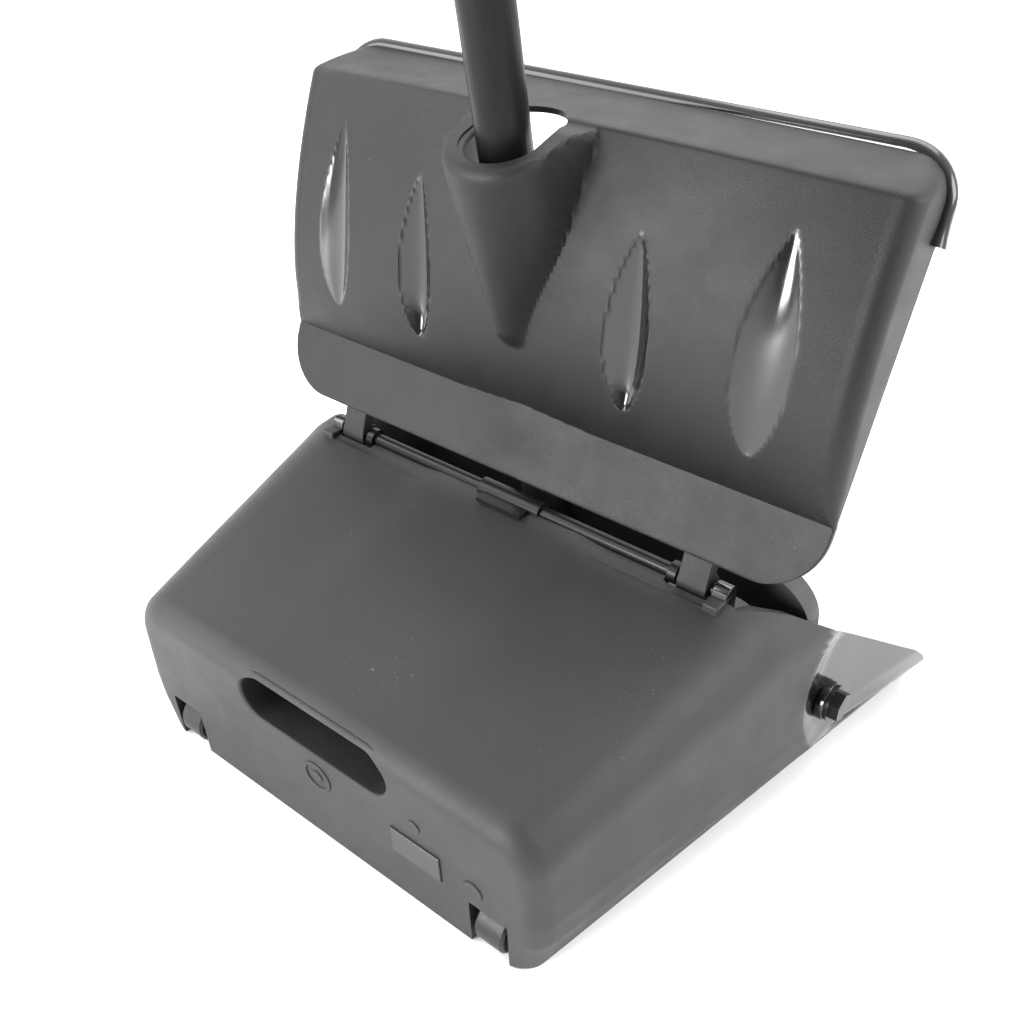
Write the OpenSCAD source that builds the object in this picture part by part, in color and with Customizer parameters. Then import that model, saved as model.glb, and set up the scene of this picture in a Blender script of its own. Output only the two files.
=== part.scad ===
// Upright covered dustpan: a hollow pan on two rear rollers, a hood-shaped lid on a hinge rod, and
// a tube handle whose arched yoke is pivoted low inside the two side wings. The tube runs through a collar
// in the lid, so tipping the handle forward shuts the lid.
// Lengths are millimetres. X is across, Y runs from the rear wall to the mouth, Z is up.

/* [Pan] */
// Half-width of the pan's foot at the rear wall
rear_half = 115; // [105:1:125]
// How fast the foot widens towards the mouth, in mm per mm
foot_flare = 0.17; // [0.10:0.01:0.20]
// Height of the skin at the rear wall
rear_height = 84; // [78:1:90]
// Wall thickness of the mouldings
wall = 2.6; // [2:0.1:3.5]
// How far the rear wall leans back, in mm per mm of height
rear_lean = 0.074; // [0:0.01:0.1]
// Depth from the rear wall's foot to the front lip
pan_depth = 280; // [275:1:290]

/* [Hinge] */
// Distance of the lid's hinge rod from the rear wall's foot
hinge_y = 131.5; // [130:0.5:133]
// Height of the hinge rod
hinge_z = 118.4; // [117:0.1:120]
// Radius of the hinge rod
rod_r = 3.2; // [2.5:0.1:3.5]
// Running clearance of turning fits, on radius
fit = 0.05; // [0.02:0.01:0.08]

/* [Lid] */
// Half-width of the lid
lid_half = 152; // [148:1:153]
// Angle of the open lid above the horizontal
lid_angle = 67.4; // [66:0.1:69]
// Distance from the hinge rod to the free edge at its middle
lid_length = 188; // [184:1:190]

/* [Handle] */
// Distance of the handle's pivot from the rear wall's foot
pivot_y = 176; // [174:1:178]
// Height of the handle's pivot
pivot_z = 48; // [46:1:50]
// Backward lean of the standing handle, degrees
lean = 12.4; // [11:0.1:14]
// Outer radius of the handle tube
tube_r = 11; // [10:0.5:11]
// Distance from the pivot to the handle's top end
handle_length = 829; // [780:1:900]

/* [Rollers] */
// Radius of the rear rollers
roller_r = 12.5; // [11:0.5:13]
// Width of a roller
roller_w = 15; // [12:1:16]
// Distance of each roller's middle from the centre plane
roller_x = 95; // [90:1:98]

/* [Hidden] */
eps = 0.01;
// The front lip and the handle's end lie at equal distances from the part's origin
end_tab_r = 12;
rear_reach = pivot_y - (handle_length - end_tab_r) * sin(lean) - end_tab_r;
mid_y = (pan_depth + rear_reach) / 2;
mid_height = 30;
mid_flare = 0.195;
mid_extra = 6;
ledge_z = 113.8;
skin_front = 128;
lug_in = 94.2;
lug_out = 108.6;
slot_half_x = 14.8;
slot_back = 15.7;
slot_ahead = 31.3;
slot_tilt = 18;
collar_t = 245.4;
wing_thick = 3;
bolt_r = 4;
bush_r = 6.5;
axle_r = 2.5;
rod_end = 114.2;
lug_r = 6.2;
notch_in = 88;
notch_out = 109.6;
pad_x = 155;
hold_z = 68.5;
hold_half = [44, 12.2];
room_half = 24;
arm_in = 124;
yoke_half = 143;
bush_end = 148.3;
roller_y = 10;

// Moves the rear-foot frame so that the part's origin is below its middle
module place() {
    translate([0, -mid_y, 0]) children();
}

// A solid through a list of closed rings with the same number of points
module loft(rings) {
    n = len(rings[0]);
    m = len(rings);
    points = [for (r = rings) each r];
    side = [for (j = [0:m - 2], i = [0:n - 1], f = [
        [j * n + i, j * n + (i + 1) % n, (j + 1) * n + i],
        [j * n + (i + 1) % n, (j + 1) * n + (i + 1) % n, (j + 1) * n + i]]) f];
    first = [[for (i = [n - 1:-1:0]) i]];
    last = [[for (i = [0:n - 1]) (m - 1) * n + i]];
    polyhedron(points, concat(side, first, last));
}

// A cylinder along X from x0 to x1
module bar_x(x0, x1, r, fn = 48) {
    translate([x0, 0, 0]) rotate([0, 90, 0]) cylinder(h = x1 - x0, r = r, $fn = fn);
}

// A rounded bar along X with flat sides: a stadium standing in the XZ plane, pushed along Y
module stadium_y(half_x, half_z, y0, y1) {
    core = half_x - half_z;
    for (s = [-1, 1])
        translate([s * core, y0, 0]) rotate([-90, 0, 0]) cylinder(h = y1 - y0, r = half_z, $fn = 48);
    translate([-core, y0, -half_z]) cube([2 * core, y1 - y0, 2 * half_z]);
}

// ---- Pan -------------------------------------------------------------------------------------

function foot_half(y) = rear_half + foot_flare * y;
function mid_half(y) = rear_half + mid_extra + mid_flare * y;
function skin_z(y) = rear_height + min(y, hinge_y) * (hinge_z - rear_height) / hinge_y;
function shoulder(y) = 20 + min(y, 170) * 0.09;

// The polished front part of each wing is sunk a little below the flank behind it
function ease(t) = let (c = min(1, max(0, t))) c * c * (3 - 2 * c);
function scoop(y, z) = let (e = norm([(y - 225) / 71, (z - 57) / 58]))
    3 * ease((1 - e) / 0.3) * (1 - 0.8 * ease((y - 195) / 75));

// Right half of the pan's cross-section, from the foot up to the crown
function half_section(y, d, h) = let (
    foot = foot_half(y) - d,
    mid = mid_half(y) - d,
    r = max(6, shoulder(y) - d),
    flank = [[5, foot], [mid_height - 8, mid - 1.2], [mid_height + 6, mid], [h - r, mid - 1.5]])
    concat([[foot - 4, 0], [foot - 1, 1.5]],
        [for (k = [0:flank_steps]) let (z = 5 + (h - r - 5) * k / flank_steps)
            [lookup(z, flank) - scoop(y, z), z]],
        [for (a = [15:15:90]) let (z = h - r + r * sin(a)) [mid - 1.5 - r + r * cos(a) - scoop(y, z) * cos(a), z]]);

// Whole cross-section at depth y, drawn in by d on every side, with its bottom raised by lift
function section(y, d, h, lift = 0) = let (half = half_section(y, d, h - d))
    concat([for (p = half) [p[0], max(p[1], lift)]],
        [for (i = [len(half) - 1:-1:0]) [-half[i][0], max(half[i][1], lift)]]);

// Places a section in the pan, leaning back with the rear wall
function ring_at(sec, y, fade) = [for (p = sec) [p[0], y - rear_lean * p[1] * fade, p[1]]];

// The lean of the rear wall dies out over the first stretch of the pan
function lean_left(y) = max(0, 1 - y / 120);

flank_steps = 7;
pan_stations = [40, 80, 120, hinge_y, 145, 152, 158, 164, 170, 178, 190, 205, 225, 250];

// Rings of the pan's outside: the first few round its rear edge
function skin_rings() = concat(
    [for (s = [[0, 8], [1.2, 4.6], [4.2, 1.6], [9, 0]])
        ring_at(section(s[0], s[1], skin_z(s[0])), s[0], lean_left(s[0]))],
    [for (y = concat(pan_stations, pan_depth + 1)) ring_at(section(y, 0, skin_z(y)), y, lean_left(y))]);

// Rings of its hollow
function hollow_rings() = [for (y = concat(wall + 1, pan_stations, pan_depth + 6))
    ring_at(section(y, y < hinge_y ? wall : wing_thick, skin_z(y), wall), y, lean_left(y))];

// Outline in the YZ plane of what the pan keeps: the mouth slopes from the hinge down to the lip
module mouth_profile() {
    polygon([[-30, -1], [pan_depth, -1], [pan_depth, 1], [pan_depth - 3, 3],
        each [for (a = [-60:20:80]) [258 + 15 * cos(a), 14 + 14 * sin(a)]],
        [236, 47], [180, 86], [147, 109.5], [skin_front + 6, 115], [skin_front, ledge_z + 0.6],
        [skin_front, 200], [-30, 200]]);
}

module pan_outside() {
    intersection() {
        loft(skin_rings());
        rotate([90, 0, 90]) translate([0, 0, -250]) linear_extrude(500) mouth_profile();
    }
}

// Boxes around the rollers' notches and the hand-hold's pocket
module pan_pockets(grow) {
    for (s = [-1, 1])
        translate([s * roller_x - 10 - grow, -20, -5]) cube([20 + 2 * grow, 44 + grow, 32 + grow]);
    translate([0, 0, hold_z]) stadium_y(hold_half[0] + grow, hold_half[1] + grow, -20, 25 + grow);
}

module pan_body() {
    color([0.25, 0.25, 0.26]) place() difference() {
        union() {
            difference() {
                pan_outside();
                loft(hollow_rings());
            }
            intersection() {
                pan_outside();
                pan_pockets(wall);
            }
            // Ledge below the hinge rod, turned up behind it to meet the skin
            translate([-rod_end, skin_front - 8, ledge_z - 2.2]) cube([2 * rod_end, 16.5, 2.2]);
            translate([-rod_end, skin_front - 8, ledge_z - 1]) cube([2 * rod_end, 8, 3]);
            for (s = [-1, 1]) {
                // Bearing cheek for the end of the hinge rod
                translate([s * rod_end - 3.8, hinge_y - 12, ledge_z - 6]) cube([7.6, 17, hinge_z - ledge_z + 6]);
                translate([0, hinge_y, hinge_z]) bar_x(s * rod_end - 3.8, s * rod_end + 3.8, 5);
                // Pad under the head of the pivot bolt
                translate([0, pivot_y, pivot_z]) bar_x(min(s * 150.6, s * pad_x), max(s * 150.6, s * pad_x), 9.6);
            }
        }
        pan_pockets(0);
        // Notches that let the lid's lugs turn between the rod's collars and cheeks
        for (s = [0, 1]) mirror([s, 0, 0]) translate([0, hinge_y, hinge_z]) {
            bar_x(notch_in, notch_out, lug_r + 0.9);
            translate([notch_in, 0, -12]) cube([notch_out - notch_in, 20, 16]);
        }
        translate([0, hinge_y, hinge_z]) bar_x(-rod_end - 3.3, rod_end + 3.3, rod_r);
        translate([0, pivot_y, pivot_z]) bar_x(-170, 170, bolt_r + fit);
        translate([0, roller_y, roller_r]) {
            bar_x(-roller_x - 12, -roller_x + 12, axle_r);
            bar_x(roller_x - 12, roller_x + 12, axle_r);
        }
    }
}

// ---- Hinge -----------------------------------------------------------------------------------

module hinge_rod() {
    color([0.12, 0.12, 0.13]) place() translate([0, hinge_y, hinge_z]) bar_x(-rod_end - 3.3, rod_end + 3.3, rod_r);
}

// Snap clip that holds the rod's middle down on the edge of the skin
module rod_clip() {
    color([0.1, 0.1, 0.11]) place() difference() {
        union() {
            translate([0, hinge_y, hinge_z]) bar_x(-18, 18, rod_r + 1.8);
            translate([-18, hinge_y - 4, ledge_z]) cube([36, 8, 4]);
            translate([-13, skin_front - 8, skin_z(skin_front) + 0.4]) cube([26, 8, 2]);
        }
        translate([0, hinge_y, hinge_z]) bar_x(-19, 19, rod_r);
    }
}

module rod_collars() {
    color([0.1, 0.1, 0.11]) place() translate([0, hinge_y, hinge_z]) for (s = [-1, 1])
        difference() {
            bar_x(s * 90.8 - 2, s * 90.8 + 2, rod_r + 1.9);
            bar_x(s * 90.8 - 3, s * 90.8 + 3, rod_r);
        }
}

// ---- Rollers ---------------------------------------------------------------------------------

module axle(s) {
    color([0.15, 0.15, 0.16]) place() translate([s * roller_x, roller_y, roller_r]) bar_x(-12, 12, axle_r);
}

module roller(s) {
    color([0.13, 0.13, 0.13]) place() translate([s * roller_x, roller_y, roller_r]) rotate([0, 90, 0])
        rotate_extrude($fn = 64) polygon([[axle_r + fit, -roller_w / 2], [roller_r - 1.5, -roller_w / 2],
            [roller_r - 0.3, -roller_w / 2 + 1.2], [roller_r - 0.3, roller_w / 2 - 1.2],
            [roller_r - 1.5, roller_w / 2], [axle_r + fit, roller_w / 2]]);
}
module left_axle() { axle(-1); }
module right_axle() { axle(1); }
module left_roller() { roller(-1); }
module right_roller() { roller(1); }

// ---- Pivot hardware --------------------------------------------------------------------------

// Repeats its children for both wings: they are drawn for the right one, at the pivot
module at_pivots() {
    place() for (s = [0, 1]) mirror([s, 0, 0]) translate([0, pivot_y, pivot_z]) children();
}

module pivot_bolts() {
    color([0.14, 0.14, 0.15]) at_pivots() union() {
        bar_x(arm_in - 10, pad_x + 1, bolt_r);
        bar_x(pad_x, pad_x + 1.8, 9);
        translate([pad_x + 1.7, 0, 0]) rotate([0, 90, 0]) cylinder(h = 4.6, r = 7.5, $fn = 6);
    }
}

module pivot_bushes() {
    color([0.75, 0.75, 0.72]) at_pivots() difference() {
        bar_x(arm_in - 0.4, bush_end, bush_r);
        bar_x(arm_in - 1, bush_end + 1, bolt_r + fit);
    }
}

module pivot_washers() {
    color([0.6, 0.6, 0.62]) at_pivots() difference() {
        bar_x(arm_in - 2, arm_in - 0.4, 9);
        bar_x(arm_in - 3, arm_in, bolt_r + fit);
    }
}

module pivot_nuts() {
    color([0.55, 0.55, 0.57]) at_pivots() difference() {
        translate([arm_in - 9, 0, 0]) rotate([0, 90, 0]) cylinder(h = 7, r = 7.5, $fn = 6);
        bar_x(arm_in - 10, arm_in, bolt_r);
    }
}

// ---- Lid -------------------------------------------------------------------------------------

// Puts shapes drawn in the lid's own frame in place: x across, y from the hinge to the free edge,
// z out of the lid's back
module lid_frame() {
    place() translate([0, hinge_y, hinge_z]) rotate([lid_angle, 0, 0]) children();
}

// Height of the lid's back at distance u from the hinge and x from its middle
function swell(u, x) = let (
    start = 45 - 9 * exp(-pow(x / 40, 2)),
    t = min(1, max(0, (u - start) / (167 - start))),
    across = 45 - 17 * pow(min(1, abs(x) / 150), 2.2))
    8.6 + across * sin(90 * pow(t, 0.62));

// The same, falling away over the end wall
function back_v(u, x) = let (drop = max(0, min(1, (u - end_u) / (lid_length - end_u))))
    9.5 + (swell(u, x) - 9.5) * sqrt(1 - pow(drop, 1.6));

// The back drawn in by d, however steeply it rises or falls
function inner_v(u, x, d) = min(back_v(u - d, x), back_v(u, x) - d, back_v(u + d, x));

// Ring of the lid's outside (d = 0) or inside (d = wall) at distance u
function lid_ring(u, d, base) = let (
    w = lid_half - d - (u > 172 ? pow((u - 172) / 16, 2) * 8 : 0),
    top = max(base + 0.6, inner_v(u, w, d)),
    r = min(9 - d, (top - base) * 0.8))
    concat([[w, u, base]],
        [for (a = [0:30:90]) [w - r + r * cos(a), u, top - r + r * sin(a)]],
        [for (i = [0:12]) let (x = (w - 16) * (1 - i / 6)) [x, u, max(base + 0.6, inner_v(u, x, d))]],
        [for (a = [90:30:180]) [-w + r + r * cos(a), u, top - r + r * sin(a)]],
        [[-w, u, base]]);

lid_stations = [36, 40, 45, 52, 60, 72, 90, 110, 130, 148, 160, 168, 175, 181, 185, lid_length];
skirt_v = 7;
end_u = 163;

module lid_hood() {
    difference() {
        loft([for (u = lid_stations) lid_ring(u, 0, skirt_v)]);
        loft([for (u = lid_stations) if (u < 186) lid_ring(u == 36 ? 35 : u, wall, -4)]);
    }
}

// The flat apron below the hood, with round lower corners
module lid_apron() {
    r = 28;
    half = lid_half - 0.2;
    translate([0, 0, 5.8]) linear_extrude(3) polygon([
        each [for (a = [270:15:360]) [half - r + r * cos(a), 12 + r + r * sin(a)]],
        [half, 46], [-half, 46],
        each [for (a = [180:15:270]) [-half + r + r * cos(a), 12 + r + r * sin(a)]]]);
}

module lid_lugs() {
    for (s = [-1, 1]) {
        x0 = s > 0 ? lug_in : -lug_out;
        bar_x(x0, x0 + lug_out - lug_in, lug_r);
        translate([x0, 0, 0]) cube([lug_out - lug_in, 26, 8]);
    }
}

// Everything that follows the collar is drawn about the point where the tube crosses it
module collar_frame() {
    place() translate([0, pivot_y, pivot_z]) rotate([lean, 0, 0]) translate([0, 0, collar_t])
        rotate([slot_tilt - lean, 0, 0]) children();
}

// Stadium across the collar's slot, grown by d, from z0 to z1
module slot_prism(d, z0, z1) {
    half_y = (slot_back + slot_ahead) / 2 - slot_half_x;
    translate([0, (slot_ahead - slot_back) / 2, z0]) {
        for (s = [-1, 1]) translate([0, s * half_y, 0]) cylinder(h = z1 - z0, r = slot_half_x + d, $fn = 48);
        translate([-slot_half_x - d, -half_y, 0]) cube([2 * (slot_half_x + d), 2 * half_y, z1 - z0]);
    }
}

module collar_boss() {
    hull() {
        collar_frame() slot_prism(6.5, -9, 0);
        collar_frame() slot_prism(2.5, -3, 4);
        lid_frame() translate([0, 86, 36.5]) sphere(r = 7, $fn = 24);
        lid_frame() translate([0, 150, 30]) sphere(r = 20, $fn = 24);
    }
}

module lid() {
    color([0.18, 0.18, 0.18]) difference() {
        union() {
            lid_frame() {
                lid_hood();
                lid_apron();
                lid_lugs();
            }
            collar_boss();
        }
        // Way for the tube through the collar and the hood, along the slot and along the standing tube
        collar_frame() slot_prism(0, -110, 20);
        collar_frame() rotate([lean - slot_tilt, 0, 0]) slot_prism(-2.4, -150, 0);
        lid_frame() bar_x(-lid_half, lid_half, rod_r + fit);
        // Room inside the boss, open to the inside of the hood
        lid_frame() translate([-room_half, 60, -10]) cube([2 * room_half, 108, 38]);
        // Room for the ends of the yoke's cross bolt when the lid is shut
        lid_frame() translate([-20, 106, 0]) cube([40, 38, 45.5]);
    }
}

// ---- Handle ----------------------------------------------------------------------------------

// Puts shapes drawn along Z from the pivot in place, leaning back
module handle_frame() {
    place() translate([0, pivot_y, pivot_z]) rotate([lean, 0, 0]) children();
}

socket_top = 94;
socket_foot = 46;
socket_r = 14.4;
yoke_top = 75;
yoke_depth = 10;
shoulder_r = 26;

// Outline of the arch in the XZ plane, less its opening
module yoke_plan() {
    difference() {
        union() {
            translate([-yoke_half, 0]) square([2 * yoke_half, yoke_top - shoulder_r]);
            translate([-yoke_half + shoulder_r, yoke_top - 2 * shoulder_r])
                square([2 * (yoke_half - shoulder_r), 2 * shoulder_r]);
            for (s = [-1, 1])
                translate([s * (yoke_half - shoulder_r), yoke_top - shoulder_r]) circle(r = shoulder_r, $fn = 96);
        }
        translate([-arm_in, -20]) square([2 * arm_in, 52]);
        translate([-arm_in + 18, -20]) square([2 * (arm_in - 18), 70]);
        for (s = [-1, 1]) translate([s * (arm_in - 18), 32]) circle(r = 18, $fn = 72);
    }
}

module handle_yoke() {
    color([0.24, 0.24, 0.25]) handle_frame() difference() {
        union() {
            translate([0, yoke_depth / 2, 0]) rotate([90, 0, 0]) linear_extrude(yoke_depth) yoke_plan();
            for (s = [0, 1]) mirror([s, 0, 0]) bar_x(arm_in, yoke_half, 12);
            translate([0, 0, socket_foot]) cylinder(h = socket_top - socket_foot, r = socket_r, $fn = 64);
        }
        translate([0, 0, 54]) cylinder(h = 60, r = tube_r, $fn = 64);
        bar_x(-160, 160, bush_r + fit);
        translate([0, 0, cross_t]) bar_x(-30, 30, 2.5);
    }
}

module yoke_bolt() {
    color([0.6, 0.6, 0.62]) handle_frame() translate([0, 0, cross_t]) {
        bar_x(-socket_r - 5, socket_r + 0.8, 2.5);
        translate([socket_r + 0.3, 0, 0]) rotate([0, 90, 0]) cylinder(h = 3.6, r = 4.6, $fn = 6);
    }
}

module yoke_nut() {
    color([0.6, 0.6, 0.62]) handle_frame() translate([-socket_r - 4.3, 0, cross_t]) difference() {
        rotate([0, 90, 0]) cylinder(h = 4, r = 4.6, $fn = 6);
        bar_x(-1, 5, 2.5);
    }
}

cross_t = 84;
joint_t = 440;
grip_t = 690;
tube_wall = 1;

module tube(z0, z1) {
    difference() {
        translate([0, 0, z0]) cylinder(h = z1 - z0, r = tube_r, $fn = 64);
        translate([0, 0, z0 - 1]) cylinder(h = z1 - z0 + 2, r = tube_r - tube_wall, $fn = 64);
    }
}

module lower_tube() {
    color([0.13, 0.13, 0.14]) handle_frame() difference() {
        tube(54, joint_t);
        translate([0, 0, cross_t]) bar_x(-30, 30, 2.5);
    }
}

module upper_tube() {
    color([0.13, 0.13, 0.14]) handle_frame() tube(joint_t + 2, handle_length - 22);
}

// Plug inside both tubes, with a thin flange between their ends
module joint_core() {
    color([0.2, 0.2, 0.21]) handle_frame() union() {
        translate([0, 0, joint_t - 32]) cylinder(h = 66, r = tube_r - tube_wall, $fn = 64);
        translate([0, 0, joint_t]) cylinder(h = 2, r = tube_r, $fn = 64);
    }
}

module joint_collar() {
    color([0.2, 0.2, 0.21]) handle_frame() rotate_extrude($fn = 64) polygon([[tube_r, joint_t - 20],
        [tube_r + 0.8, joint_t - 20], [tube_r + 2.2, joint_t - 16], [tube_r + 2.2, joint_t + 18],
        [tube_r + 0.8, joint_t + 22], [tube_r, joint_t + 22]]);
}

module grip() {
    color([0.1, 0.1, 0.1]) handle_frame() rotate_extrude($fn = 64) polygon([[tube_r, grip_t],
        [tube_r + 2.6, grip_t], [tube_r + 3.4, grip_t + 4],
        each [for (i = [0:8]) [tube_r + 3.2 - 1.1 * sin(i * 22.5), grip_t + 14 + i * 11]],
        [tube_r + 3.4, grip_t + 112], [tube_r + 2.6, grip_t + 116], [tube_r, grip_t + 116]]);
}

// Plug in the top of the tube with a flat tab and a hole to hang the pan by
module end_cap() {
    top = handle_length - 22;
    color([0.12, 0.12, 0.12]) handle_frame() difference() {
        union() {
            translate([0, 0, top - 24]) cylinder(h = 24.5, r = tube_r - tube_wall, $fn = 64);
            translate([0, 0, top]) cylinder(h = 4, r = tube_r + 2.4, $fn = 64);
            translate([0, 0, top + 10]) bar_x(-5, 5, end_tab_r, 64);
            translate([-5, -12, top + 2]) cube([10, 24, 8]);
        }
        translate([0, 0, top + 11]) bar_x(-10, 10, 5, 64);
    }
}

pan_body();
hinge_rod();
rod_clip();
rod_collars();
left_axle();
right_axle();
left_roller();
right_roller();
pivot_bolts();
pivot_bushes();
pivot_washers();
pivot_nuts();
lid();
handle_yoke();
yoke_bolt();
yoke_nut();
lower_tube();
joint_core();
joint_collar();
upper_tube();
grip();
end_cap();
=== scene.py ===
"""Looks of an upright covered dustpan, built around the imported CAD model.

The pan and the lid are finer meshes of the CAD shapes. The rest keeps its CAD shape and gets a material.
Shapes are worked out in millimetres, with Y counted from the rear wall's foot, and moved to the
frame at the end.
"""

import math

import bmesh
import bpy
import numpy as np
from mathutils import Matrix, Vector


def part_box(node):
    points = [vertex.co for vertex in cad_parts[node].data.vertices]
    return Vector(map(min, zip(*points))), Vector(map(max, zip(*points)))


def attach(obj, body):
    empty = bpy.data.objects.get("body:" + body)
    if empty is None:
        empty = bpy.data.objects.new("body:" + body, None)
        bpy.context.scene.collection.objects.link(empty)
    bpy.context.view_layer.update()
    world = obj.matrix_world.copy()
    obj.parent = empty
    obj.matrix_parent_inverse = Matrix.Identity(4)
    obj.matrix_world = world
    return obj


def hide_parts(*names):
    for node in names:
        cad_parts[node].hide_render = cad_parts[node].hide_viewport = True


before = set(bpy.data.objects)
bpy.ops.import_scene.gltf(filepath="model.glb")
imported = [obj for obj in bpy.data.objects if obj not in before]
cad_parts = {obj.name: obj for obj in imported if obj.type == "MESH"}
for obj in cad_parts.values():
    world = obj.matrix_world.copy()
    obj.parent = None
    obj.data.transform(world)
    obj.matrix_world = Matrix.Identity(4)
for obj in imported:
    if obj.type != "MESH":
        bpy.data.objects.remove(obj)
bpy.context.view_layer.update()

# ---- Driving dimensions, as in part.scad ------------------------------------------------------


def middle(node):
    lo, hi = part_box(node)
    return (lo + hi) * 500


HINGE_FOOT_Y = 131.5
HINGE = middle("hinge_rod")
MID_Y = HINGE_FOOT_Y - HINGE.y
HINGE_Z = HINGE.z
PIVOT = middle("pivot_bolts")
PIVOT_Y, PIVOT_Z = PIVOT.y + MID_Y, PIVOT.z
PAN_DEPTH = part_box("pan_body")[1].y * 1000 + MID_Y
LID_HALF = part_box("lid")[1].x * 1000
REAR_HALF, FOOT_FLARE, MID_EXTRA, MID_FLARE = 115, 0.17, 6, 0.195
REAR_HEIGHT, REAR_LEAN, WALL = 84, 0.074, 2.6
LID_ANGLE, LID_LENGTH, LEAN = math.radians(67.4), 188, math.radians(12.4)
ROD_R, LEDGE_Z, SKIN_FRONT = 3.2, 113.8, 128
ROD_END, NOTCH_IN, NOTCH_OUT = 114.2, 88, 109.6
WING_FACE, PAD_X, PAD_R = 150.6, 155, 9.6
HOLD_Z, HOLD_HALF_X, HOLD_HALF_Z, HOLD_DEPTH = 68.5, 44, 12.2, 25
ROLLER_X = 95
COLLAR_T, SLOT_TILT, SLOT_HALF, SLOT_BACK, SLOT_AHEAD = 245.4, math.radians(18), 14.8, 15.7, 31.3


def ease(t):
    c = np.clip(t, 0, 1)
    return c * c * (3 - 2 * c)


# ---- Materials --------------------------------------------------------------------------------


class Nodes:
    """A small helper that adds shader nodes and links them."""

    def __init__(self, name):
        self.mat = bpy.data.materials.new(name)
        self.mat.use_nodes = True
        self.tree = self.mat.node_tree
        self.shader = self.tree.nodes["Principled BSDF"]
        self.coords = self.add("ShaderNodeTexCoord").outputs["Object"]

    def add(self, kind, **values):
        node = self.tree.nodes.new(kind)
        for key, value in values.items():
            setattr(node, key, value)
        return node

    def link(self, a, b):
        self.tree.links.new(a, b)

    def noise(self, scale, detail=3.0, rough=0.5, stretch=None):
        vector = self.coords
        if stretch:
            mapping = self.add("ShaderNodeMapping")
            mapping.inputs["Scale"].default_value = stretch
            self.link(vector, mapping.inputs["Vector"])
            vector = mapping.outputs["Vector"]
        node = self.add("ShaderNodeTexNoise")
        node.inputs["Scale"].default_value = scale
        node.inputs["Detail"].default_value = detail
        node.inputs["Roughness"].default_value = rough
        self.link(vector, node.inputs["Vector"])
        return node.outputs["Fac"]

    def spread(self, value, lo, hi, to_lo, to_hi):
        node = self.add("ShaderNodeMapRange")
        node.inputs["From Min"].default_value = lo
        node.inputs["From Max"].default_value = hi
        node.inputs["To Min"].default_value = to_lo
        node.inputs["To Max"].default_value = to_hi
        self.link(value, node.inputs["Value"])
        return node.outputs["Result"]

    def math(self, kind, a, b):
        node = self.add("ShaderNodeMath", operation=kind)
        for socket, value in zip(node.inputs, (a, b)):
            if hasattr(value, "is_output"):
                self.link(value, socket)
            else:
                socket.default_value = value
        return node.outputs["Value"]

    def mix(self, fac, a, b):
        node = self.add("ShaderNodeMix", data_type="RGBA")
        for socket, value in zip((node.inputs[0], node.inputs[6], node.inputs[7]), (fac, a, b)):
            if hasattr(value, "is_output"):
                self.link(value, socket)
            else:
                socket.default_value = value
        return node.outputs[2]

    def attribute(self, name):
        return self.add("ShaderNodeAttribute", attribute_name=name).outputs["Fac"]

    def bump(self, height, strength, distance, after=None):
        node = self.add("ShaderNodeBump")
        if hasattr(strength, "is_output"):
            self.link(strength, node.inputs["Strength"])
        else:
            node.inputs["Strength"].default_value = strength
        node.inputs["Distance"].default_value = distance
        self.link(height, node.inputs["Height"])
        if after:
            self.link(after, node.inputs["Normal"])
        return node.outputs["Normal"]


def grey(value, tint=(1.0, 1.0, 1.02)):
    return (*[value * t for t in tint], 1.0)


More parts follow.
